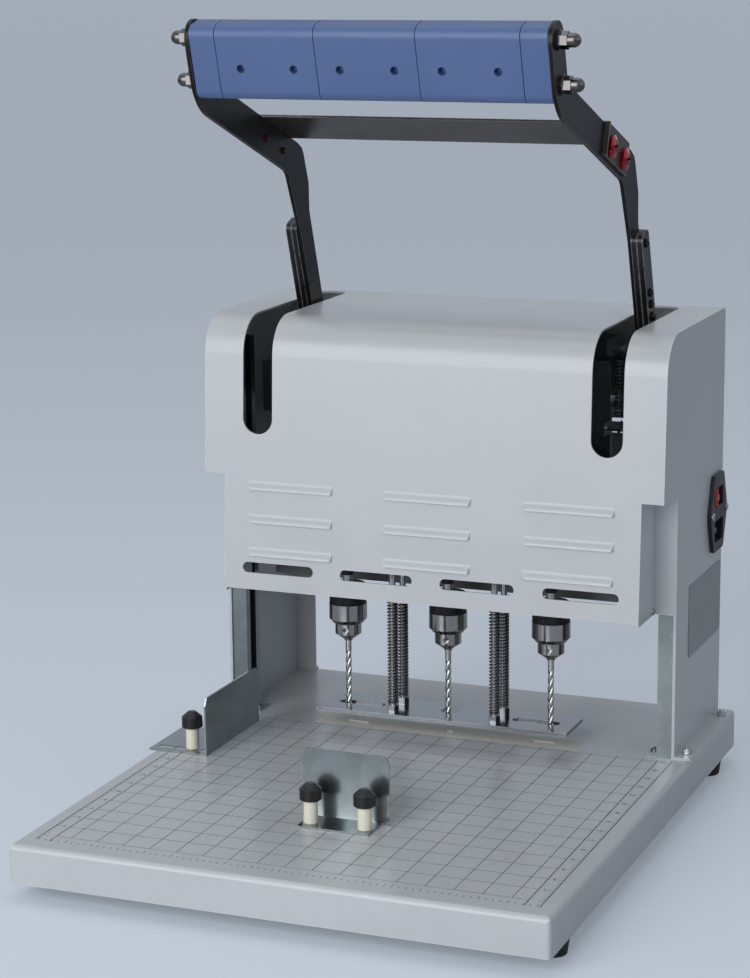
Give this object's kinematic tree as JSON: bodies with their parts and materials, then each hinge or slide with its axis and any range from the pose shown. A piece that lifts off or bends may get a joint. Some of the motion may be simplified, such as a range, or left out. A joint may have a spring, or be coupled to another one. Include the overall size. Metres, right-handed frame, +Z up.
{
  "type": "desktop paper drill",
  "caption": "Desktop paper drill with a hand lever, a sliding drill head under a folded sheet housing, and magnetic paper guides on a ruled table.",
  "frame": {"origin": "bottom centre of the whole machine at rest, on the surface that the rubber feet stand on", "axes": "+Z up, the longest way; +X to the operator's right, the shortest way; -Y towards the operator"},
  "size_m": [0.3926, 0.472, 0.589],
  "materials": {
    "paint": "satin",
    "zinc": "satin",
    "steel": "satin",
    "chrome": "polished",
    "black_steel": "satin",
    "black_plastic": "matte",
    "rubber": "matte",
    "blue_plastic": "satin",
    "cream_plastic": "matte",
    "white_pad": "matte",
    "red_plastic": "gloss",
    "red_steel": "gloss",
    "brown_steel": "satin",
    "plate": "satin",
    "circuit": "satin",
    "dark_steel": "satin"
  },
  "bodies": {
    "frame": {"base_tray": "paint", "rubber_feet": "rubber", "foot_screws": "zinc", "pad_tray": "zinc", "cutting_pad": "white_pad", "left_side_plate": "paint", "right_side_plate": "paint", "column_bolts": "zinc", "left_channel": "zinc", "right_channel": "zinc", "front_cover": "paint", "rear_cover": "paint", "housing_screws": "zinc", "rear_crossmember": "dark_steel", "power_inlet": "black_plastic", "rating_plate": "plate", "power_supply": "circuit", "pivot_blocks": "dark_steel"},
    "lever": {"pivot_shaft": "steel", "left_arm": "black_steel", "right_arm": "black_steel", "left_root_bars": "black_steel", "right_root_bars": "black_steel", "root_bolts": "black_steel", "shaft_collars": "black_steel", "pinions": "steel", "brace_plate": "brown_steel", "brace_screws": "red_steel", "grip_left_end": "blue_plastic", "grip_left": "blue_plastic", "grip_middle": "blue_plastic", "grip_right": "blue_plastic", "grip_right_end": "blue_plastic", "grip_rods": "steel", "acorn_nuts": "steel"},
    "head": {"head_plate": "dark_steel", "head_brackets": "dark_steel", "slide_blocks": "white_pad", "racks": "steel", "spring_posts": "steel", "middle_motor": "black_plastic", "return_springs": "steel"},
    "left_carriage": {"left_motor": "black_plastic"},
    "right_carriage": {"right_motor": "black_plastic"},
    "left_spindle": {"left_chuck": "chrome", "left_bit": "chrome"},
    "middle_spindle": {"middle_chuck": "chrome", "middle_bit": "chrome"},
    "right_spindle": {"right_chuck": "chrome", "right_bit": "chrome"},
    "press": {"press_plate": "zinc", "guide_rods": "steel", "press_springs": "steel"},
    "power_rocker": {"rocker_switch": "red_plastic"},
    "side_guide_set": {"side_guide": "zinc", "side_magnet": "cream_plastic", "side_magnet_knob": "black_plastic"},
    "front_stop_set": {"front_stop": "zinc", "stop_magnets": "cream_plastic", "stop_magnet_knobs": "black_plastic"}
  },
  "joints": [
    {"name": "lever_swing", "type": "hinge", "parent": "frame", "child": "lever", "pos_m": [0, 0.1869, 0.292], "axis": [1, 0, 0], "range_deg": [-26, 68], "stiffness_Nm_per_rad": 2, "springref_deg": -74.48},
    {"name": "head_slide", "type": "slide", "parent": "frame", "child": "head", "axis": [0, 0, -1], "range_m": [-0.00484, 0.01263], "deforming": ["return_springs"]},
    {"name": "left_drill_shift", "type": "slide", "parent": "head", "child": "left_carriage", "axis": [1, 0, 0], "range_m": [0, 0.013]},
    {"name": "right_drill_shift", "type": "slide", "parent": "head", "child": "right_carriage", "axis": [-1, 0, 0], "range_m": [0, 0.013]},
    {"name": "left_spindle_spin", "type": "hinge", "parent": "left_carriage", "child": "left_spindle", "pos_m": [-0.08125, 0.106, 0.106], "axis": [0, 0, 1], "continuous": true},
    {"name": "middle_spindle_spin", "type": "hinge", "parent": "head", "child": "middle_spindle", "pos_m": [0.00175, 0.106, 0.106], "axis": [0, 0, 1], "continuous": true},
    {"name": "right_spindle_spin", "type": "hinge", "parent": "right_carriage", "child": "right_spindle", "pos_m": [0.08475, 0.106, 0.106], "axis": [0, 0, 1], "continuous": true},
    {"name": "press_plate_slide", "type": "slide", "parent": "head", "child": "press", "axis": [0, 0, 1], "range_m": [0, 0.04], "stiffness_N_per_m": 150, "springref_m": -0.03, "deforming": ["press_springs"]},
    {"name": "power_rocker_tilt", "type": "hinge", "parent": "frame", "child": "power_rocker", "pos_m": [0.18075, 0.2085, 0.2195], "axis": [0, 0, -1], "range_deg": [0, 20]},
    {"name": "side_guide_slide", "type": "slide", "parent": "frame", "child": "side_guide_set", "axis": [1, 0, 0], "range_m": [-0.015, 0.12]},
    {"name": "front_stop_slide", "type": "slide", "parent": "frame", "child": "front_stop_set", "axis": [0, 1, 0], "range_m": [-0.09, 0.15]}
  ],
  "couplings": [
    {"joint": "head_slide", "follows": "lever_swing", "m_per_rad": 0.010625}
  ]
}
